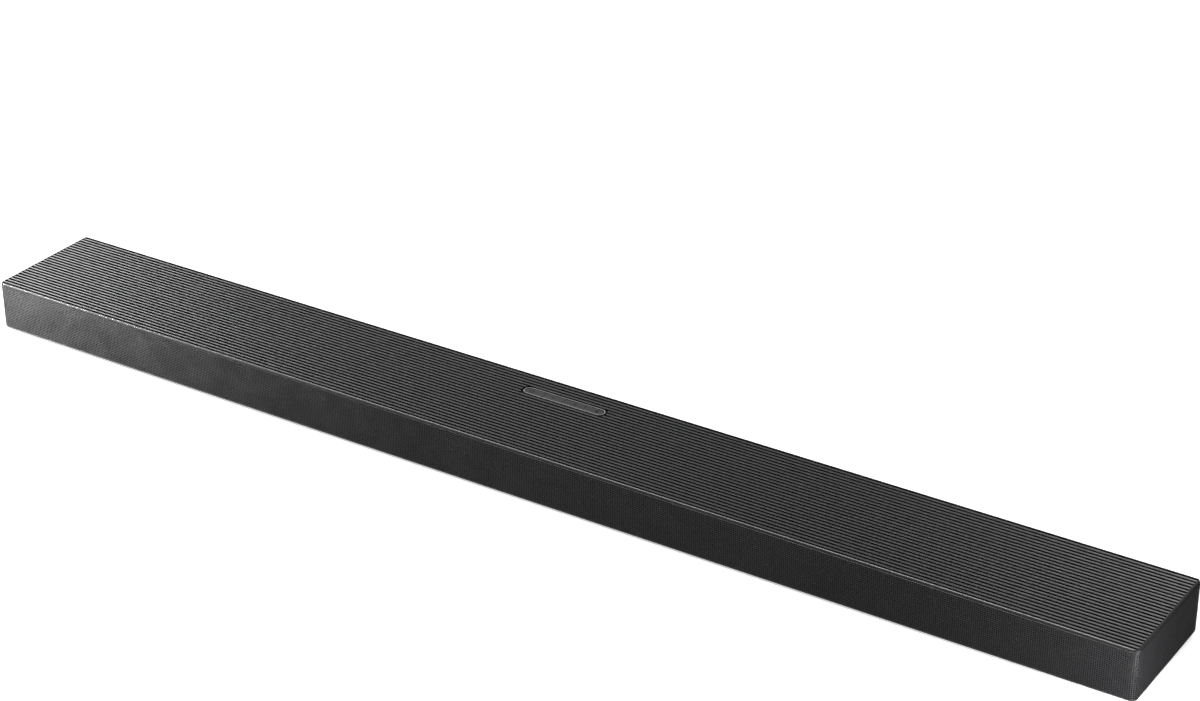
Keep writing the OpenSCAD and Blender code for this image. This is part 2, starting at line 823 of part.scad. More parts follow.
module upfire_funnels() {
    color([0.06, 0.06, 0.06]) for (s = [-1, 1]) difference() {
        translate([s * upfire_x, upfire_y, upfire_z - 6])
            cylinder(r = upfire_r + 1.5, h = deck_z - upfire_z + 5.9, $fn = 96);
        translate([s * upfire_x, upfire_y, 0]) cylinder(r = upfire_r - 2.5, h = body_h, $fn = 96);
        at_upfire(s) translate([-50, -50, -30]) cube([100, 100, 30.1]);
    }
}

module upfire_baskets() {
    color([0.15, 0.15, 0.15]) for (s = [-1, 1]) at_upfire(s) basket(0, upfire_r, upfire_depth);
}

module upfire_magnets() {
    color([0.3, 0.3, 0.32]) for (s = [-1, 1]) at_upfire(s)
        motor(ring_r = 16, gap_r = 8.4, pole_r = 6.6, depth = upfire_depth, h = 11);
}

module upfire_surrounds() {
    color([0.05, 0.05, 0.05]) for (s = [-1, 1]) at_upfire(s) surround(0, upfire_r);
}

module upfire_cone(s) {
    color([0.1, 0.1, 0.1]) at_upfire(s)
        cone(0, upfire_r, depth = 6, coil_r = 7.5, coil_end = upfire_depth + 4);
}

module driver_screws() {
    corner = 11.8;
    color([0.45, 0.45, 0.47]) for (x = woofer_x) at_front(x) for (sx = [-1, 1], sy = [-1, 1])
        translate([sx * (woofer_a + corner), sy * corner, 0.02]) cylinder(r = 1, h = 0.8, $fn = 24);
}

top_cover();
front_grille();
grille_scrim();
front_baffle();
bottom_chassis();
rear_panel();
end_plate_left();
end_plate_right();
rubber_feet();
case_screws();
mount_inserts();
io_plate();
power_inlet();
hdmi_sockets();
usb_socket();
optical_socket();
optical_shutter();
main_board();
board_chips();
heat_sink();
ribbon_cable();
wireless_module();
power_board();
power_transformer();
power_capacitors();
control_bezel();
key_power();
key_minus();
key_plus();
key_mic();
plunger(0);  // plunger_power
plunger(1);  // plunger_minus
plunger(2);  // plunger_plus
plunger(3);  // plunger_mic
control_board();
tact_switches();
microphones();
display_board();
display_window();
driver_gaskets();
woofer_baskets();
woofer_magnets();
woofer_surrounds();
woofer_cone(0);  // woofer_cone_1
woofer_cone(1);  // woofer_cone_2
woofer_cone(2);  // woofer_cone_3
woofer_cone(3);  // woofer_cone_4
tweeter_plates();
tweeter_magnets();
tweeter_dome(0);  // tweeter_dome_left
tweeter_dome(1);  // tweeter_dome_centre
tweeter_dome(2);  // tweeter_dome_right
upfire_funnels();
upfire_baskets();
upfire_magnets();
upfire_surrounds();
upfire_cone(-1);  // upfire_cone_left
upfire_cone(1);  // upfire_cone_right
driver_screws();
speaker_harness();
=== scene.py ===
"""Looks of the soundbar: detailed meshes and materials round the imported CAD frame."""
import json
import math

import bmesh
import bpy
import numpy as np
from mathutils import Matrix, Vector


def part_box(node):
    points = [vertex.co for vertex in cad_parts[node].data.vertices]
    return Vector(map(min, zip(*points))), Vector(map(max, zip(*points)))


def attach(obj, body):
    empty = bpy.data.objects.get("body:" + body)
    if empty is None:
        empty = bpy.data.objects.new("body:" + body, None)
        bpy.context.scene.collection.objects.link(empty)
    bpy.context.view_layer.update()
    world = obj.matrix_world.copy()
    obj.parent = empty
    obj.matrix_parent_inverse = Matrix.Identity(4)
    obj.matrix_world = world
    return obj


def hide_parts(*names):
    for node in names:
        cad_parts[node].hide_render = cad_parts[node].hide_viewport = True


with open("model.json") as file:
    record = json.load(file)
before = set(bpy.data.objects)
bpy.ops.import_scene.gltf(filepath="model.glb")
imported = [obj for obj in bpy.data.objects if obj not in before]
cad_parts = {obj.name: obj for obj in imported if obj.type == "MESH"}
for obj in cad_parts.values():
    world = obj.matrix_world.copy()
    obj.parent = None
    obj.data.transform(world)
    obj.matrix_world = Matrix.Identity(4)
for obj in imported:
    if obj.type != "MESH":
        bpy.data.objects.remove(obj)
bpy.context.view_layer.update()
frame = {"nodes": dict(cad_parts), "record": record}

MM = 0.001
HOUSING = "housing"

# ---- Sizes, in millimetres, from the frame's own boxes ----


def box_mm(node):
    lo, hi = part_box(node)
    return [c / MM for c in lo], [c / MM for c in hi]


body_lo, body_hi = box_mm("top_cover")
X_END = body_hi[0]
Y_FRONT = body_lo[1]
Y_REAR = body_hi[1]
Z_TOP = body_hi[2]
CORNER_R = 6.0
REAR_R = 3.5
RIB_COUNT = 28
RIB_W = 2.2
RIB_H = 2.0
RIB_END_GAP = 2.6
RIM_DROP = 0.15
RIB_PITCH = (Y_REAR - Y_FRONT) / (RIB_COUNT - 1)
RIB_ROUND = 0.45
EDGE_ROUND = 0.75
INNER_EDGE_ROUND = 0.2
GROOVE_Z = Z_TOP - RIB_H
DECK_Z = GROOVE_Z - 2.2
SKIRT_Z = GROOVE_Z - 0.8
RIB_SINK = 0.05
DECK_INSET = 1.2
# Shape of a rib's end: distance back from the tip and width there as a share of the full width
RIB_TIP = ((0.0, 0.7), (0.12, 0.88), (0.35, 0.97), (0.7, 1.0), (1.0, 1.0))

bezel_lo, bezel_hi = box_mm("control_bezel")
PILL_X = (bezel_lo[0] + bezel_hi[0]) / 2
PILL_Y = (bezel_lo[1] + bezel_hi[1]) / 2
PILL_R = (bezel_hi[1] - bezel_lo[1]) / 2
PILL_A = (bezel_hi[0] - bezel_lo[0]) / 2 - PILL_R
PILL_GAP = 1.95
RIM_W = 1.3
KEY_GAP = 0.3
KEY_R = PILL_R - RIM_W - 0.5
KEY_SPLIT = 21.5
KEY_ROUND = 0.22
KEY_POST_R = 1.5
SIGN_LINE = 0.75
SIGN_SINK = 0.1
SIGN_PROUD = 0.02
KEY_POSTS = {"key_power": -34.0, "key_minus": -11.0, "key_plus": 11.0, "key_mic": 34.0}

GRILLE_T = 0.7
GRILLE_PITCH = 1.8
HOLE_R = 0.66
HOLE_SIDES = 8
GRILLE_EDGE = 0.55
GRILLE_FOLD = 0.22
GRILLE_PIECES = 8

FOOT_A = 24.0
FOOT_R = 6.0
SCRIM_COLUMNS = 120
SCRIM_ROWS = 4

# ---- Camera: set from the traced outline of the bar ----


def add_camera():
    right = Vector((0.83860, 0.54473, -0.00415))
    down = Vector((0.25031, -0.39208, -0.88522))
    ahead = Vector((-0.48384, 0.74131, -0.46515))
    cam = bpy.data.objects.new("camera", bpy.data.cameras.new("camera"))
    cam.data.sensor_width = 36.0
    cam.data.lens = 85.88
    cam.data.clip_start = 0.05
    cam.data.clip_end = 60.0
    rows = Matrix((right, -down, -ahead)).transposed()
    place = Vector((1.2217, -1.7812, 1.2487))
    cam.matrix_world = Matrix.Translation(place) @ rows.to_4x4()
    bpy.context.collection.objects.link(cam)
    bpy.context.scene.camera = cam


add_camera()
bpy.context.scene.view_settings.view_transform = "Standard"

# ---- Node helpers ----


class Nodes:
    """A material's node tree with short calls for the nodes used here."""

    def __init__(self, name):
        self.mat = bpy.data.materials.new(name)
        self.mat.use_nodes = True
        self.tree = self.mat.node_tree
        self.shader = self.tree.nodes["Principled BSDF"]
        self.coords = self.tree.nodes.new("ShaderNodeTexCoord").outputs["Object"]

    def link(self, a, b):
        self.tree.links.new(a, b)

    def scaled(self, scale):
        node = self.tree.nodes.new("ShaderNodeMapping")
        node.inputs["Scale"].default_value = scale
        self.link(self.coords, node.inputs["Vector"])
        return node.outputs["Vector"]

    def noise(self, scale, detail, vector=None):
        node = self.tree.nodes.new("ShaderNodeTexNoise")
        node.inputs["Scale"].default_value = scale
        node.inputs["Detail"].default_value = detail
        self.link(vector or self.coords, node.inputs["Vector"])
        return node.outputs["Fac"]

    def voronoi(self, scale):
        node = self.tree.nodes.new("ShaderNodeTexVoronoi")
        node.inputs["Scale"].default_value = scale
        self.link(self.coords, node.inputs["Vector"])
        return node.outputs["Distance"]

    def ramp(self, fac, stops):
        node = self.tree.nodes.new("ShaderNodeValToRGB")
        ramp = node.color_ramp
        while len(ramp.elements) < len(stops):
            ramp.elements.new(0.5)
        for element, (at, colour) in zip(ramp.elements, stops):
            element.position = at
            element.color = (*colour, 1.0)
        self.link(fac, node.inputs["Fac"])
        return node.outputs["Color"]

    def span(self, fac, low, high):
        node = self.tree.nodes.new("ShaderNodeMapRange")
        node.inputs["From Min"].default_value = 0.3
        node.inputs["From Max"].default_value = 0.7
        node.inputs["To Min"].default_value = low
        node.inputs["To Max"].default_value = high
        self.link(fac, node.inputs["Value"])
        return node.outputs["Result"]

    def bump(self, height, strength, distance, bevel=0.0):
        node = self.tree.nodes.new("ShaderNodeBump")
        node.inputs["Strength"].default_value = strength
        node.inputs["Distance"].default_value = distance
        self.link(height, node.inputs["Height"])
        if bevel:
            edge = self.tree.nodes.new("ShaderNodeBevel")
            edge.samples = 4
            edge.inputs["Radius"].default_value = bevel
            self.link(edge.outputs["Normal"], node.inputs["Normal"])
        self.link(node.outputs["Normal"], self.shader.inputs["Normal"])


def tint(colour, factor):
    return tuple(min(1.0, c * factor) for c in colour)


def moulded(name, colour, rough, grain, relief=0.25, level=0.5, bevel=0.0, drift=0.1):
    """Moulded plastic or rubber: fine grain, faint flow marks and slightly uneven gloss."""
    n = Nodes(name)
    flow = n.noise(9.0, 4.0)
    fine = n.noise(grain, 2.0)
    base = n.ramp(flow, [(0.3, tint(colour, 1 - drift)), (0.7, tint(colour, 1 + drift))])
    n.link(base, n.shader.inputs["Base Color"])
    gloss = n.span(n.noise(35.0, 5.0), rough * (1 - drift), rough * (1 + drift))
    n.link(gloss, n.shader.inputs["Roughness"])
    n.shader.inputs["Specular IOR Level"].default_value = level
    n.bump(fine, relief, 0.00006, bevel)
    return n.mat


def metal(name, colour, rough, bevel=0.0):
    """Metal with a directional finish: fine lines along one axis."""
    n = Nodes(name)
    lines = n.noise(40.0, 4.0, n.scaled((1.0, 60.0, 60.0)))
    base = n.ramp(lines, [(0.3, tint(colour, 0.86)), (0.7, tint(colour, 1.1))])
    n.link(base, n.shader.inputs["Base Color"])
    n.shader.inputs["Metallic"].default_value = 1.0
    n.link(n.span(lines, rough - 0.08, rough + 0.1), n.shader.inputs["Roughness"])
    n.bump(lines, 0.15, 0.00003, bevel)
    return n.mat


def coated_steel(name, colour, rough, level=0.5):
    """Powder-coated sheet: very fine orange peel over a dark coat."""
    n = Nodes(name)
    peel = n.voronoi(2600.0)
    drift = n.noise(6.0, 3.0)
    base = n.ramp(drift, [(0.3, tint(colour, 0.9)), (0.7, tint(colour, 1.1))])
    n.link(base, n.shader.inputs["Base Color"])
    n.link(n.span(n.noise(60.0, 4.0), rough - 0.04, rough + 0.05), n.shader.inputs["Roughness"])
    n.shader.inputs["Specular IOR Level"].default_value = level
    n.bump(peel, 0.2, 0.00004)
    return n.mat


def woven(name, colour, pitch):
    """Thin cloth: two sets of threads crossing at the given pitch in metres."""
    n = Nodes(name)
    waves = []
    for turn in ("X", "Z"):
        node = n.tree.nodes.new("ShaderNodeTexWave")
        node.bands_direction = turn
        node.inputs["Scale"].default_value = 0.314 / pitch
        n.link(n.coords, node.inputs["Vector"])
        waves.append(node.outputs["Fac"])
    cross = n.tree.nodes.new("ShaderNodeMath")
    cross.operation = "MULTIPLY"
    n.link(waves[0], cross.inputs[0])
    n.link(waves[1], cross.inputs[1])
    base = n.ramp(cross.outputs[0], [(0.0, tint(colour, 0.5)), (1.0, tint(colour, 1.5))])
    n.link(base, n.shader.inputs["Base Color"])
    n.shader.inputs["Roughness"].default_value = 0.9
    n.shader.inputs["Specular IOR Level"].default_value = 0.2
    n.bump(cross.outputs[0], 0.4, 0.0001)
    return n.mat


def circuit(name, colour):
    """Solder mask with faint tracks and tinned dots."""
    n = Nodes(name)
    tracks = n.tree.nodes.new("ShaderNodeTexBrick")
    tracks.inputs["Scale"].default_value = 90.0
    tracks.inputs["Mortar Size"].default_value = 0.03
    tracks.inputs["Color1"].default_value = (*colour, 1.0)
    tracks.inputs["Color2"].default_value = (*tint(colour, 0.8), 1.0)
    tracks.inputs["Mortar"].default_value = (*tint(colour, 1.9), 1.0)
    n.link(n.coords, tracks.inputs["Vector"])
    n.link(tracks.outputs["Color"], n.shader.inputs["Base Color"])
    n.shader.inputs["Roughness"].default_value = 0.35
    n.bump(tracks.outputs["Fac"], 0.2, 0.00005)
    return n.mat


MAT = {
    "ribs": moulded(
        "ribbed_plastic", (0.022, 0.022, 0.0233),
        rough=0.38, grain=900.0, relief=0.02, level=0.44, drift=0.04,
    ),
    # Lip: a lighter, glossier colour on the front rib's rounded top edge, a painted highlight along
    # the front edge
    "lip": moulded(
        "lip_painted_highlight", (0.07, 0.07, 0.073),
        rough=0.25, grain=2500.0, relief=0.02, level=0.8, drift=0.04,
    ),
    # Near-black colour for the rib walls, the groove floor and the gap round the key strip: painted
    # shade in the grooves and gaps
    "groove": moulded(
        "groove_plastic", (0.003, 0.003, 0.0032),
        rough=0.6, grain=1500.0, relief=0.1, level=0.15,
    ),
    # Darker colour than the ribs for the end rims, the deck rim and the outer rib faces: painted
    # shade on these strips
    "edge": moulded(
        "edge_painted_shade", (0.010, 0.010, 0.0105),
        rough=0.6, grain=1500.0, relief=0.1, level=0.2,
    ),
    "grille": coated_steel("grille_metal", (0.013, 0.013, 0.0138), 0.4, level=0.4),
    "scrim": woven("scrim_cloth", (0.002, 0.002, 0.002), 0.0004),
    "case": moulded(
        "case_plastic", (0.014, 0.014, 0.0147),
        rough=0.5, grain=900.0, relief=0.5, bevel=0.0004,
    ),
    "inner": moulded("inner_plastic", (0.010, 0.010, 0.010), rough=0.6, grain=900.0, relief=0.3),
    "plate": moulded(
        "plate_plastic", (0.016, 0.016, 0.0165),
        rough=0.42, grain=1600.0, bevel=0.0002,
    ),
    # The rim round the key strip is several times lighter than the ribs: painted highlight on the
    # rim
    "bezel": moulded(
        "bezel_plastic", (0.11, 0.11, 0.115),
        rough=0.25, grain=2500.0, relief=0.05, drift=0.04,
    ),
    "key": moulded(
        "key_plastic", (0.014, 0.014, 0.015),
        rough=0.45, grain=2500.0, relief=0.06, level=0.36, drift=0.04,
    ),
    "glyph": moulded(
        "glyph_ink", (0.003, 0.003, 0.003),
        rough=0.6, grain=3000.0, relief=0.1, level=0.1,
    ),
    "foot": moulded("foot_rubber", (0.012, 0.012, 0.012), rough=0.75, grain=700.0, relief=0.6),
    "socket": moulded(
        "socket_plastic", (0.010, 0.010, 0.010),
        rough=0.4, grain=1500.0, bevel=0.0002,
    ),
    "shutter": moulded(
        "shutter_plastic", (0.030, 0.030, 0.031),
        rough=0.35, grain=1500.0, bevel=0.0001,
    ),
    "shell": metal("socket_steel", (0.62, 0.62, 0.63), rough=0.25, bevel=0.00015),
    "steel": metal("screw_steel", (0.42, 0.42, 0.43), rough=0.35, bevel=0.0002),
    "brass": metal("insert_brass", (0.70, 0.50, 0.22), rough=0.3, bevel=0.0002),
    "board": circuit("circuit_board", (0.008, 0.045, 0.022)),
    "chip": moulded("chip_plastic", (0.012, 0.012, 0.012), rough=0.5, grain=2000.0),
    "sink": metal("sink_aluminium", (0.60, 0.61, 0.62), rough=0.35, bevel=0.0002),
    "ribbon": moulded("ribbon_plastic", (0.55, 0.55, 0.52), rough=0.4, grain=600.0),
    "tape": moulded("transformer_tape", (0.55, 0.42, 0.08), rough=0.4, grain=300.0),
    "sleeve": moulded("capacitor_sleeve", (0.010, 0.013, 0.05), rough=0.3, grain=500.0),
    "plunger": moulded("plunger_plastic", (0.6, 0.6, 0.57), rough=0.4, grain=900.0),
    "can": metal("can_steel", (0.55, 0.55, 0.55), rough=0.3),
    "window": moulded("smoked_window", (0.010, 0.010, 0.011), rough=0.12, grain=200.0, relief=0.02),
    "gasket": moulded("gasket_rubber", (0.008, 0.008, 0.008), rough=0.85, grain=500.0, relief=0.8),
    "basket": coated_steel("basket_steel", (0.016, 0.016, 0.016), 0.45),
    "magnet": moulded("magnet_ferrite", (0.045, 0.045, 0.048), rough=0.5, grain=400.0, relief=0.5),
    "surround": moulded("surround_rubber", (0.010, 0.010, 0.010), rough=0.55, grain=900.0),
    "cone": moulded("cone_fibre", (0.016, 0.016, 0.0165), rough=0.7, grain=300.0, relief=0.8),
    "dome": metal("dome_foil", (0.40, 0.40, 0.42), rough=0.3),
    "lead": moulded("lead_sleeve", (0.014, 0.014, 0.014), rough=0.6, grain=600.0, relief=0.6),
}

# Material of each CAD node that stays visible, by the record's slot
SLOT_LOOK = {
    "ribbed_plastic": "ribs",
    "grille_metal": "grille",
    "scrim_cloth": "scrim",
    "inner_plastic": "inner",
    "case_plastic": "case",
    "foot_rubber": "foot",
    "screw_steel": "steel",
    "insert_brass": "brass",
    "plate_plastic": "plate",
    "socket_plastic": "socket",
    "socket_steel": "shell",
    "shutter_plastic": "shutter",
    "circuit_board": "board",
    "chip_plastic": "chip",
    "sink_aluminium": "sink",
    "ribbon_plastic": "ribbon",
    "transformer_tape": "tape",
    "capacitor_sleeve": "sleeve",
    "bezel_plastic": "bezel",
    "key_plastic": "key",
    "plunger_plastic": "plunger",
    "can_steel": "can",
    "smoked_window": "window",
    "gasket_rubber": "gasket",
    "basket_steel": "basket",
    "magnet_ferrite": "magnet",
    "surround_rubber": "surround",
    "cone_fibre": "cone",
    "dome_foil": "dome",
    "lead_sleeve": "lead",
}


def paint_cad_nodes():
    slots = {s["node"]: s["material_slot"] for s in frame["record"]["subparts"]}
    for name, ob in frame["nodes"].items():
        if not ob.material_slots:
            ob.data.materials.append(None)
        for place in ob.material_slots:
            place.material = MAT[SLOT_LOOK[slots[name]]]


paint_cad_nodes()

# ---- Mesh helpers ----


def finish_piece(ob, look, body, replaces=(), smooth=35.0):
    looks = look if isinstance(look, (list, tuple)) else [look]
    for key in looks:
        ob.data.materials.append(MAT[key])
    ob.data.shade_smooth()
    ob.data.set_sharp_from_angle(angle=math.radians(smooth))
    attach(ob, body)
    if replaces:
        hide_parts(*replaces)
    return ob


def object_from_bmesh(name, bm):
    bmesh.ops.recalc_face_normals(bm, faces=bm.faces)
    me = bpy.data.meshes.new(name)
    bm.to_mesh(me)
    bm.free()
    ob = bpy.data.objects.new(name, me)
    bpy.context.collection.objects.link(ob)
    return ob


def add_ring(bm, points):
    """A closed ring of vertices from points in millimetres."""
    return [bm.verts.new((x * MM, y * MM, z * MM)) for x, y, z in points]


def skin(bm, rings, closed=False):
    """Quads between rings of equal length; closed also joins the last to the first."""
    pairs = list(zip(rings, rings[1:]))
    if closed:
        pairs.append((rings[-1], rings[0]))
    made = []
    for a, b in pairs:
        count = len(a)
        for i in range(count):
            j = (i + 1) % count
            made.append(bm.faces.new((a[i], a[j], b[j], b[i])))
    return made


def arc(cx, cy, r, start, end, steps):
    """Points on an arc, angles in degrees, both ends included."""
    turns = [math.radians(start + (end - start) * k / steps) for k in range(steps + 1)]
    return [(cx + r * math.cos(t), cy + r * math.sin(t)) for t in turns]


def racetrack(a, r, steps=24, centre=(0.0, 0.0)):
    """Outline of a racetrack: half length a between the centres of its round ends."""
    right = arc(centre[0] + a, centre[1], r, -90, 90, steps)
    left = arc(centre[0] - a, centre[1], r, 90, 270, steps)
    return right + left


def lofted(outline, levels):
    """Closed solid from (inset, z) levels, bottom to top; outline(inset) gives equal rings."""
    bm = bmesh.new()
    rings = [add_ring(bm, [(x, y, z) for x, y in outline(inset)]) for inset, z in levels]
    skin(bm, rings)
    bm.faces.new(rings[0][::-1])
    bm.faces.new(rings[-1])
    return bm


def rounded_levels(z0, z1, r, steps):
    """Levels of a block with a rounded top edge."""
    levels = [(0.0, z0)]
    levels += [(r * (1 - math.cos(t)), z1 - r + r * math.sin(t)) for t in quarter(steps)]
    levels.append((r + 0.08, z1))
    return levels


def quarter(steps):
    return [math.pi / 2 * k / steps for k in range(steps + 1)]


# ---- Ribbed cover ----


def corner_reach(y):
    """Half length of the body at depth y: shorter where the upright corners curve in."""
    r = CORNER_R if y < 0 else REAR_R
    depth = min(max(Y_FRONT + r - y, y - Y_REAR + r, 0.0), r)
    return X_END - r + math.sqrt(r**2 - depth**2)


def body_plan(inset):
    """Outline of the body seen from above, drawn in by a margin."""
    steps = 10
    x, y = X_END - inset, Y_REAR - inset
    front, rear = CORNER_R - inset, REAR_R - inset
    points = arc(x - front, front - y, front, -90, 0, steps)
    points += arc(x - rear, y - rear, rear, 0, 90, steps)
    points += arc(rear - x, y - rear, rear, 90, 180, steps)
    points += arc(front - x, front - y, front, 180, 270, steps)
    return points


def rib_section(y0, y1, foot_z, front_round=RIB_ROUND, rear_round=RIB_ROUND):
    """Cross-section of one rib: upright sides and rounded top edges."""
    front = arc(y0 + front_round, Z_TOP - front_round, front_round, 180, 90, 5)
    rear = arc(y1 - rear_round, Z_TOP - rear_round, rear_round, 90, 0, 5)
    return [(y0, foot_z)] + front + rear + [(y1, foot_z)]


def end_rings(bm, section, side, reach, inwards):
    """Rings that round off one end of a rib, from its cap inwards along X."""
    mid = (section[0][0] + section[-1][0]) / 2
    rings = []
    for back, shrink in RIB_TIP:
        ring = []
        for y, z in section:
            y_in = mid + (y - mid) * shrink
            z_in = GROOVE_Z + (z - GROOVE_Z) * (1 - (1 - shrink) * 0.6)
            ring.append((side * (reach(y_in) + inwards * back), y_in, z_in))
        rings.append(add_ring(bm, ring))
    return rings


def add_rib(bm, section, start, end):
    """A closed bar along X; each end is (side, reach at a depth, direction back into the bar)."""
    rings = end_rings(bm, section, *start) + end_rings(bm, section, *end)[::-1]
    skin(bm, rings)
    bm.faces.new(rings[0][::-1])
    bm.faces.new(rings[-1])


def outer_reach(y):
    return min(X_END - RIB_END_GAP, corner_reach(y))


def inner_reach(y):
    """Half length of the opening round the key strip at depth y."""
    return PILL_A + math.sqrt(max((PILL_R + PILL_GAP) ** 2 - (y - PILL_Y) ** 2, 0.0))


def build_ribs():
    """All ribs; the two at the faces are halved by them, and three part round the key strip."""
    bm = bmesh.new()
    for i in range(RIB_COUNT):
        y = Y_FRONT + i * RIB_PITCH
        if i == 0:
            section = rib_section(Y_FRONT, y + RIB_W / 2, SKIRT_Z, EDGE_ROUND, INNER_EDGE_ROUND)
        elif i == RIB_COUNT - 1:
            section = rib_section(y - RIB_W / 2, Y_REAR, SKIRT_Z, INNER_EDGE_ROUND, EDGE_ROUND)
        else:
            section = rib_section(y - RIB_W / 2, y + RIB_W / 2, GROOVE_Z - RIB_SINK)
        if abs(y - PILL_Y) < PILL_R + PILL_GAP:
            for side in (-1, 1):
                add_rib(bm, section, (side, inner_reach, 1), (side, outer_reach, -1))
        else:
            add_rib(bm, section, (-1, outer_reach, -1), (1, outer_reach, -1))
    bmesh.ops.recalc_face_normals(bm, faces=bm.faces)
    # Inner rib walls get the near-black groove colour (painted shade), the outer faces the darker
    # edge colour (painted shade), and the front rounded edge the lighter lip colour (painted
    # highlight)
    for face in bm.faces:
        if face.normal.z < 0.4 and abs(face.normal.y) > 0.6:
            outside = abs(face.calc_center_median().y / MM) > Y_REAR - 0.1
            face.material_index = 2 if outside else 1
        elif face.normal.y < -0.2 and face.calc_center_median().y / MM < Y_FRONT + EDGE_ROUND:
            face.material_index = 3
    return object_from_bmesh("cover_ribs", bm)


def build_end_rims():
    """Rounded rims that close the grooves at both ends, a little lower than the ribs."""
    bm = bmesh.new()
    inner = X_END - RIB_END_GAP - 0.1
    top = Z_TOP - RIM_DROP
    fall = top - GROOVE_Z + 0.3
    near = math.sqrt(CORNER_R**2 - (CORNER_R - RIB_END_GAP) ** 2)
    far = math.sqrt(REAR_R**2 - (REAR_R - RIB_END_GAP) ** 2)
    front, rear = Y_FRONT + CORNER_R, Y_REAR - REAR_R
    stations = [front - near * math.sin(t) for t in quarter(8)[::-1]]
    stations += [rear + far * math.sin(t) for t in quarter(8)]
    for side in (-1, 1):
        rings = []
        for y in stations:
            width = max(corner_reach(y) - 0.12 - inner, 0.1)
            turns = quarter(8)
            curve = [(inner + width * math.sin(t), top - fall * (1 - math.cos(t))) for t in turns]
            ring = [(inner, top - fall)] + curve
            rings.append(add_ring(bm, [(side * x, y, z) for x, z in ring]))
        skin(bm, rings)
        bm.faces.new(rings[0])
        bm.faces.new(rings[-1])
    return object_from_bmesh("cover_end_rims", bm)


def loop_edges_of(bm, ring):
    """The edges that already join the vertices of a ring."""
    return [bm.edges.get((a, b)) for a, b in zip(ring, ring[1:] + ring[:1])]


def loop_edges(bm, ring):
    """New edges that join the vertices of a ring."""
    return [bm.edges.new((a, b)) for a, b in zip(ring, ring[1:] + ring[:1])]


def sound_windows():
    """Outlines of the open windows between the cross-bars above each up-firing driver."""
    lo, hi = box_mm("upfire_funnels")
    reach = (hi[1] - lo[1]) / 2 - 6.5
    y = (lo[1] + hi[1]) / 2
    x = hi[0] - (hi[1] - lo[1]) / 2
    spans = [(-reach, -14.0), (-12.0, -1.0), (1.0, 12.0), (14.0, reach)]
    outlines = []
    for side in (-1, 1):
        for a, b in spans:
            xs = np.linspace(a, b, 9)
            half = np.sqrt(np.maximum(reach**2 - xs**2, 0.0))
            top = [(side * x + u, y + v) for u, v in zip(xs, half) if v > 0.01]
            low = [(side * x + u, y - v) for u, v in zip(xs[::-1], half[::-1]) if v > 0.01]
            ends = [(side * x + u, y) for u, v in zip(xs, half) if v <= 0.01]
            if ends and ends[0][0] < top[0][0]:
                outlines.append(ends + top + low)
            else:
                outlines.append(top + ends + low)
    return outlines


def build_deck():
    """The plate under the ribs, with the key opening and the sound windows."""
    bm = bmesh.new()
    rim = [
        (DECK_INSET, DECK_Z),
        (DECK_INSET, SKIRT_Z),
        (0.0, SKIRT_Z),
        (0.0, GROOVE_Z - 0.35),
        (0.1, GROOVE_Z - 0.1),
        (0.35, GROOVE_Z),
    ]
    rings = [add_ring(bm, [(x, y, z) for x, y in body_plan(inset)]) for inset, z in rim]
    # Rim faces get the darker edge colour (painted shade); the top, the bottom and the window walls
    # keep the near-black groove colour (painted shade)
    for face in skin(bm, rings):
        face.material_index = 1
    holes = [racetrack(PILL_A, PILL_R - 0.2, centre=(PILL_X, PILL_Y))] + sound_windows()
    low_edges = loop_edges_of(bm, rings[0])
    high_edges = loop_edges_of(bm, rings[-1])
    for outline in holes:
        low = add_ring(bm, [(x, y, DECK_Z) for x, y in outline])
        high = add_ring(bm, [(x, y, GROOVE_Z) for x, y in outline])
        low_edges += loop_edges(bm, low)
        high_edges += loop_edges(bm, high)
        skin(bm, [low, high])
    for edges in (low_edges, high_edges):
        bmesh.ops.triangle_fill(bm, use_beauty=True, edges=edges)
    return object_from_bmesh("cover_deck", bm)


# Ribs in their own colour, with painted shade on the walls and outer faces and a painted highlight
# on the front edge
RIB_LOOKS = ["ribs", "groove", "edge", "lip"]
finish_piece(build_ribs(), RIB_LOOKS, HOUSING, ["top_cover"])
# End rims in the darker edge colour: painted shade on the end margins
finish_piece(build_end_rims(), "edge", HOUSING, ["top_cover"])
finish_piece(build_deck(), ["groove", "edge"], HOUSING, ["top_cover"])

# ---- Perforated grille ----

grille_lo, grille_hi = box_mm("front_grille")
GRILLE_Z0, GRILLE_Z1 = grille_lo[2], grille_hi[2]
GRILLE_END_Y = grille_hi[1]
SIDE_RUN = GRILLE_END_Y - (Y_FRONT + CORNER_R)
CORNER_RUN = math.pi / 2 * CORNER_R
FRONT_RUN = 2 * (X_END - CORNER_R)
GRILLE_RUN = 2 * SIDE_RUN + 2 * CORNER_RUN + FRONT_RUN


def along_grille(s, depth):
    """Plan position at distance s from the sheet's left rear end, depth inwards from its face."""
    s = np.asarray(s, float)
    cx, cy = X_END - CORNER_R, Y_FRONT + CORNER_R
    r = CORNER_R - depth
    marks = np.cumsum([SIDE_RUN, CORNER_RUN, FRONT_RUN, CORNER_RUN])
    left_turn = (s - marks[0]) / CORNER_R
    right_turn = (s - marks[2]) / CORNER_R
    stretches = [s <= mark for mark in marks]
    x_of = [
        -X_END + depth + 0 * s,
        -cx - r * np.cos(left_turn),
        s - marks[1] - cx,
        cx + r * np.sin(right_turn),
    ]
    y_of = [
        GRILLE_END_Y - s,
        cy - r * np.sin(left_turn),
        Y_FRONT + depth + 0 * s,
        cy - r * np.cos(right_turn),
    ]
    x = np.select(stretches, x_of, X_END - depth)
    y = np.select(stretches, y_of, cy + (s - marks[3]))
    return x, y


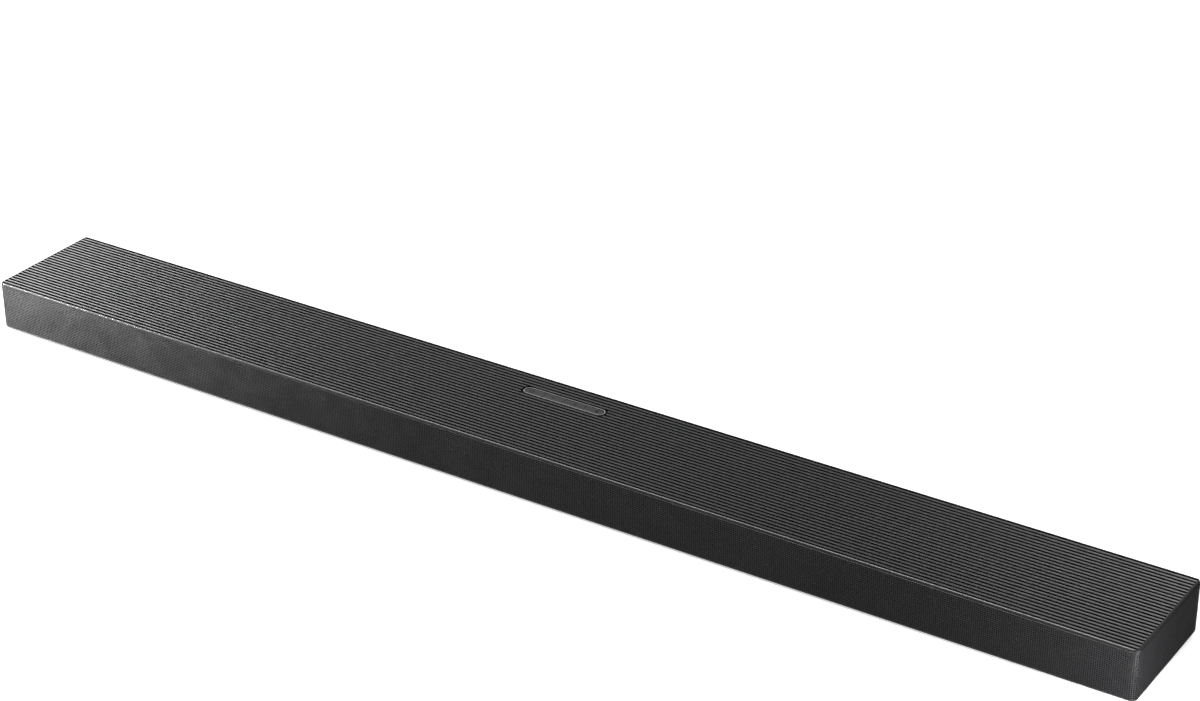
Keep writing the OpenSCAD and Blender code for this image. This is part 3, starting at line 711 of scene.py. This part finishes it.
def mesh_from_arrays(name, verts, faces):
    """verts in millimetres; faces is a list of index arrays, one per polygon size."""
    me = bpy.data.meshes.new(name)
    me.vertices.add(len(verts))
    me.vertices.foreach_set("co", (verts * MM).astype(np.float32).ravel())
    sizes = np.concatenate([np.full(len(f), f.shape[1]) for f in faces])
    corners = np.concatenate([f.ravel() for f in faces])
    me.loops.add(len(corners))
    me.loops.foreach_set("vertex_index", corners.astype(np.int32))
    me.polygons.add(len(sizes))
    starts = np.concatenate([[0], np.cumsum(sizes)[:-1]])
    me.polygons.foreach_set("loop_start", starts.astype(np.int32))
    me.update(calc_edges=True)
    me.validate()
    ob = bpy.data.objects.new(name, me)
    bpy.context.collection.objects.link(ob)
    return ob


def build_grille_piece(name, s_edges, z_edges):
    """One stretch of the sheet: a grid of cells, each with an eight-sided hole right through."""
    cols, rows = len(s_edges) - 1, len(z_edges) - 1
    foot = [GRILLE_Z0, GRILLE_Z0 + GRILLE_FOLD]
    head = [GRILLE_Z1 - GRILLE_FOLD, GRILLE_Z1]
    z_all = np.concatenate([foot, z_edges, head])
    levels = len(z_all)
    sheets = []
    for depth, lip in ((0.0, GRILLE_FOLD), (GRILLE_T, 0.0)):
        inset = np.zeros(levels) + depth
        inset[[0, -1]] += lip
        rows_xyz = []
        for z, d in zip(z_all, inset):
            x, y = along_grille(s_edges, d)
            rows_xyz.append(np.stack([x, y, np.full_like(x, z)], 1))
        sheets.append(np.concatenate(rows_xyz))
    grid = (cols + 1) * levels
    turn = np.radians(22.5 + 45.0 * np.arange(HOLE_SIDES))
    s_mid = (s_edges[:-1] + s_edges[1:]) / 2
    z_mid = (z_edges[:-1] + z_edges[1:]) / 2
    hs = s_mid[None, :, None] + HOLE_R * np.cos(turn)
    hz = z_mid[:, None, None] + HOLE_R * np.sin(turn)
    hs, hz = np.broadcast_arrays(hs, hz)
    holes = []
    for depth in (0.0, GRILLE_T):
        x, y = along_grille(hs.ravel(), depth)
        holes.append(np.stack([x, y, hz.ravel()], 1))
    verts = np.concatenate([*sheets, *holes])

    def at(level, col, side):
        return side * grid + level * (cols + 1) + col

    level = 2 + np.arange(rows)[:, None] + np.zeros((1, cols), int)
    col = np.arange(cols)[None, :] + np.zeros((rows, 1), int)
    quads, tris = [], []
    for side in (0, 1):
        cell = np.arange(rows)[:, None] * cols + np.arange(cols)
        base = 2 * grid + (side * rows * cols + cell) * HOLE_SIDES
        c00, c10 = at(level, col, side), at(level, col + 1, side)
        c01, c11 = at(level + 1, col, side), at(level + 1, col + 1, side)
        h = [base + k for k in range(HOLE_SIDES)]
        sides = [
            (c10, c11, h[0], h[7]),
            (c11, c01, h[2], h[1]),
            (c01, c00, h[4], h[3]),
            (c00, c10, h[6], h[5]),
        ]
        corners = [(c11, h[1], h[0]), (c01, h[3], h[2]), (c00, h[5], h[4]), (c10, h[7], h[6])]
        for group, store in ((sides, quads), (corners, tris)):
            for face in group:
                face = np.stack([f.ravel() for f in face], 1)
                store.append(face if side == 0 else face[:, ::-1])
        borders = [k for k in range(levels - 1) if k < 2 or k >= levels - 3]
        for k in borders:
            c = np.arange(cols)
            low = (at(k, c, side), at(k, c + 1, side))
            high = (at(k + 1, c + 1, side), at(k + 1, c, side))
            face = np.stack([*low, *high], 1)
            quads.append(face if side == 0 else face[:, ::-1])
    front = 2 * grid + np.arange(rows * cols)[:, None] * HOLE_SIDES
    back = front + rows * cols * HOLE_SIDES
    k = np.arange(HOLE_SIDES)
    after = (k + 1) % HOLE_SIDES
    wall = np.stack([front + k, front + after, back + after, back + k], 2)
    quads.append(wall.reshape(-1, 4))
    c = np.arange(cols)
    for lev, flip in ((0, False), (levels - 1, True)):
        corners = (at(lev, c, 0), at(lev, c, 1), at(lev, c + 1, 1), at(lev, c + 1, 0))
        face = np.stack(corners, 1)
        quads.append(face[:, ::-1] if flip else face)
    lev = np.arange(levels - 1)
    for end, flip in ((0, True), (cols, False)):
        corners = (at(lev, end, 0), at(lev, end, 1), at(lev + 1, end, 1), at(lev + 1, end, 0))
        face = np.stack(corners, 1)
        quads.append(face[:, ::-1] if flip else face)
    return mesh_from_arrays(name, verts, [np.concatenate(quads), np.concatenate(tris)])


def build_grille():
    columns = int(round(GRILLE_RUN / GRILLE_PITCH))
    rows = int(round((GRILLE_Z1 - GRILLE_Z0 - 2 * GRILLE_EDGE) / GRILLE_PITCH))
    s_all = np.linspace(0.0, GRILLE_RUN, columns + 1)
    z_edges = np.linspace(GRILLE_Z0 + GRILLE_EDGE, GRILLE_Z1 - GRILLE_EDGE, rows + 1)
    cuts = np.linspace(0, columns, GRILLE_PIECES + 1).round().astype(int)
    for k, (a, b) in enumerate(zip(cuts, cuts[1:])):
        ob = build_grille_piece(f"grille_sheet_{k + 1}", s_all[a : b + 1], z_edges)
        finish_piece(ob, "grille", HOUSING, ["front_grille"], smooth=40.0)


build_grille()

# ---- Control strip ----


def swept_ring(name, profile, a, centre):
    """Sweeps a closed (distance, height) profile round a racetrack centre line."""
    steps = 32
    bm = bmesh.new()
    rings = []
    for side, start in ((1, -90), (-1, 90)):
        for k in range(steps + 1):
            t = math.radians(start + 180 * k / steps)
            cx = centre[0] + side * a
            ring = [(cx + d * math.cos(t), centre[1] + d * math.sin(t), z) for d, z in profile]
            rings.append(add_ring(bm, ring))
    skin(bm, rings, closed=True)
    return object_from_bmesh(name, bm)


def build_bezel():
    outer = PILL_R
    inner = PILL_R - RIM_W
    skirt = PILL_R - 0.3
    z0 = bezel_lo[2]
    round_out = arc(outer - 0.45, Z_TOP - 0.45, 0.45, 0, 90, 6)
    round_in = arc(inner + 0.25, Z_TOP - 0.25, 0.25, 90, 180, 3)
    shoulder = GROOVE_Z + 0.05
    profile = [(inner, z0), (skirt, z0), (skirt, shoulder), (outer, shoulder)]
    profile += round_out + round_in
    ob = swept_ring("control_rim", profile, PILL_A, (PILL_X, PILL_Y))
    # Upright faces of the rim get the near-black groove colour: painted shade in the gap round the
    # key strip
    for face in ob.data.polygons:
        face.material_index = 1 if abs(face.normal.z) < 0.1 else 0
    return ob


finish_piece(build_bezel(), ["bezel", "groove"], HOUSING, ["control_bezel"])


def key_outline(x0, x1):
    """Outline function of one key cap: a stretch of the racetrack between two splits."""
    a = PILL_A
    steps = 20

    def outline(inset):
        r = KEY_R - inset
        if x0 is None:
            right = x1 - inset
            points = [(right, -r)] + [(right, r)] + arc(-a, 0, r, 90, 270, steps)
        elif x1 is None:
            left = x0 + inset
            points = arc(a, 0, r, -90, 90, steps) + [(left, r), (left, -r)]
        else:
            points = [(x1 - inset, -r), (x1 - inset, r), (x0 + inset, r), (x0 + inset, -r)]
        return [(PILL_X + x, PILL_Y + y) for x, y in points]

    return outline


KEY_SPANS = {
    "key_power": (None, -KEY_SPLIT - KEY_GAP / 2),
    "key_minus": (-KEY_SPLIT + KEY_GAP / 2, -KEY_GAP / 2),
    "key_plus": (KEY_GAP / 2, KEY_SPLIT - KEY_GAP / 2),
    "key_mic": (KEY_SPLIT + KEY_GAP / 2, None),
}
KEY_TOP = box_mm("key_plus")[1][2]
KEY_T = 2.4


def build_key(node):
    """A key cap with the round post under it."""
    levels = rounded_levels(KEY_TOP - KEY_T, KEY_TOP, KEY_ROUND, 4)
    bm = lofted(key_outline(*KEY_SPANS[node]), levels)
    x, y, r = KEY_POSTS[node], PILL_Y, KEY_POST_R
    turns = np.linspace(0, 2 * math.pi, 25)[:-1]
    post = [(x + r * math.cos(t), y + r * math.sin(t)) for t in turns]
    add_prism(bm, post, box_mm(node)[0][2], KEY_TOP - KEY_T + 0.05)
    return object_from_bmesh(node + "_cap", bm)


def add_prism(bm, points, z0, z1):
    rings = [add_ring(bm, [(x, y, z) for x, y in points]) for z in (z0, z1)]
    skin(bm, rings)
    bm.faces.new(rings[0][::-1])
    bm.faces.new(rings[1])


def band(cx, cy, r, width, start, end, steps):
    """Outline of an open arc of a given line width."""
    outside = arc(cx, cy, r + width / 2, start, end, steps)
    return outside + arc(cx, cy, r - width / 2, end, start, steps)


def bar(x0, x1, y0, y1):
    return [(x0, y0), (x1, y0), (x1, y1), (x0, y1)]


def glyph_outlines(node):
    """Plain signs: a power ring, minus, plus and a microphone."""
    x, y, line = KEY_POSTS[node], PILL_Y, SIGN_LINE
    if node == "key_power":
        stroke = bar(x - line / 2, x + line / 2, y + 0.5, y + 2.8)
        return [band(x, y, 2.0, line, 125, 415, 28), stroke]
    if node == "key_minus":
        return [bar(x - 1.9, x + 1.9, y - line / 2, y + line / 2)]
    if node == "key_plus":
        arm, half = 1.9, line / 2
        return [
            bar(x - arm, x - half, y - half, y + half),
            bar(x + half, x + arm, y - half, y + half),
            bar(x - half, x + half, y - arm, y + arm),
        ]
    capsule = [(x + v, y + 0.75 + u) for u, v in racetrack(0.75, 0.8, 8)]
    cup = band(x, y + 0.5, 1.65, 0.45, 190, 350, 14)
    stem = bar(x - 0.25, x + 0.25, y - 2.1, y - 1.3)
    return [capsule, cup, stem, bar(x - 1.1, x + 1.1, y - 2.5, y - 2.1)]


def build_glyph(node):
    bm = bmesh.new()
    for outline in glyph_outlines(node):
        add_prism(bm, outline, KEY_TOP - SIGN_SINK, KEY_TOP + SIGN_PROUD)
    return object_from_bmesh(node + "_sign", bm)


for key in KEY_POSTS:
    finish_piece(build_key(key), "key", key, [key])
    finish_piece(build_glyph(key), "glyph", key)

# ---- Feet ----


def build_feet():
    lo, hi = box_mm("rubber_feet")
    bm = bmesh.new()
    for sx in (-1, 1):
        for sy in (-1, 1):
            centre = (sx * (hi[0] - FOOT_A - FOOT_R), sy * (hi[1] - FOOT_R))
            levels = [(0.5, 0.0), (0.15, 0.15), (0.0, 0.5), (0.0, hi[2])]
            rings = []
            for inset, z in levels:
                outline = racetrack(FOOT_A, FOOT_R - inset, 16, centre)
                rings.append(add_ring(bm, [(x, y, lo[2] + z) for x, y in outline]))
            skin(bm, rings)
            bm.faces.new(rings[0][::-1])
            bm.faces.new(rings[-1])
    return object_from_bmesh("foot_pads", bm)


finish_piece(build_feet(), "foot", HOUSING, ["rubber_feet"])

# ---- Scrim ----


def build_scrim():
    """A flat closed sheet with a front and a back face."""
    lo, hi = box_mm("grille_scrim")
    bm = bmesh.new()
    columns, rows = SCRIM_COLUMNS, SCRIM_ROWS
    sheets = []
    for y in (lo[1] + 0.05, hi[1] - 0.05):
        grid = [
            add_ring(bm, [(x, y, z) for x in np.linspace(lo[0], hi[0], columns + 1)])
            for z in np.linspace(lo[2], hi[2], rows + 1)
        ]
        sheets.append(grid)
    for grid in sheets:
        for a, b in zip(grid, grid[1:]):
            for i in range(columns):
                bm.faces.new((a[i], a[i + 1], b[i + 1], b[i]))
    front, back = sheets
    for i in range(columns):
        for j in (0, -1):
            bm.faces.new((front[j][i], front[j][i + 1], back[j][i + 1], back[j][i]))
    for j in range(rows):
        for end in (0, columns):
            bm.faces.new((front[j][end], front[j + 1][end], back[j + 1][end], back[j][end]))
    ob = object_from_bmesh("scrim_cloth", bm)
    finish_piece(ob, "scrim", HOUSING, ["grille_scrim"])


build_scrim()

# ---- Floor, lights, world ----


def add_floor():
    bm = bmesh.new()
    bmesh.ops.create_grid(bm, x_segments=4, y_segments=4, size=14.0)
    ob = object_from_bmesh("floor", bm)
    n = Nodes("floor_paint")
    base = n.ramp(n.noise(0.8, 2.0), [(0.3, (0.86, 0.86, 0.86)), (0.7, (0.88, 0.88, 0.88))])
    n.link(base, n.shader.inputs["Base Color"])
    n.shader.inputs["Roughness"].default_value = 0.9
    n.shader.inputs["Specular IOR Level"].default_value = 0.1
    n.shader.inputs["Emission Color"].default_value = (1.0, 1.0, 1.0, 1.0)
    n.shader.inputs["Emission Strength"].default_value = 0.5
    ob.data.materials.append(n.mat)
    ob.visible_glossy = False


def add_softbox(name, place, target, width, height, power):
    data = bpy.data.lights.new(name, "AREA")
    data.shape = "RECTANGLE"
    data.size = width
    data.size_y = height
    data.energy = power
    ob = bpy.data.objects.new(name, data)
    ob.location = place
    aim = Vector(target) - Vector(place)
    ob.rotation_mode = "QUATERNION"
    ob.rotation_quaternion = aim.to_track_quat("-Z", "Y")
    ob.visible_camera = False
    bpy.context.collection.objects.link(ob)


def add_world(sky, below):
    """Even white light from above the horizon, fading to a dim surround below it."""
    world = bpy.data.worlds.new("studio")
    world.use_nodes = True
    tree = world.node_tree
    coords = tree.nodes.new("ShaderNodeTexCoord")
    split = tree.nodes.new("ShaderNodeSeparateXYZ")
    fade = tree.nodes.new("ShaderNodeMapRange")
    fade.inputs["From Min"].default_value = -0.35
    fade.inputs["From Max"].default_value = 0.25
    fade.inputs["To Min"].default_value = below
    fade.inputs["To Max"].default_value = sky
    tree.links.new(coords.outputs["Generated"], split.inputs["Vector"])
    tree.links.new(split.outputs["Z"], fade.inputs["Value"])
    back = tree.nodes["Background"]
    back.inputs["Color"].default_value = (1.0, 1.0, 1.0, 1.0)
    tree.links.new(fade.outputs["Result"], back.inputs["Strength"])
    bpy.context.scene.world = world


# Name, place, aim, width, height, watts
SOFTBOXES = [
    ("back_left", (-2.70, 1.62, 1.32), (-0.56, 0.0, 0.0), 1.1, 1.1, 54.0),
    ("back_mid", (-1.45, 1.90, 1.35), (0.0, 0.0, 0.0), 0.7, 0.7, 2.0),
    ("back_right", (0.0, 1.9, 1.35), (0.56, 0.0, 0.0), 0.6, 0.6, 7.0),
    ("pill_arc", (0.5, 0.75, 0.52), (0.0, 0.0, 0.05), 0.3, 0.15, 2.5),
    ("front_left", (-0.85, -0.38, 0.03), (-0.60, -0.06, 0.02), 0.3, 0.06, 14.0),
    ("front_right", (0.75, -0.40, 0.03), (0.58, -0.06, 0.02), 0.3, 0.06, 1.5),
    ("front_high", (-1.2, -1.17, 1.86), (0.0, 0.0, 0.0), 1.2, 0.8, 30.0),
    ("edge_right", (0.10, -0.75, 1.00), (0.5, -0.06, 0.05), 0.5, 0.4, 9.0),
    ("right_near", (0.67, -0.13, 0.04), (0.58, -0.04, 0.025), 0.06, 0.04, 0.5),
    ("overhead", (0.0, 0.0, 4.0), (0.0, 0.0, 0.0), 4.0, 3.0, 40.0),
]

add_floor()
add_world(0.15, 0.045)
for softbox in SOFTBOXES:
    add_softbox(*softbox)
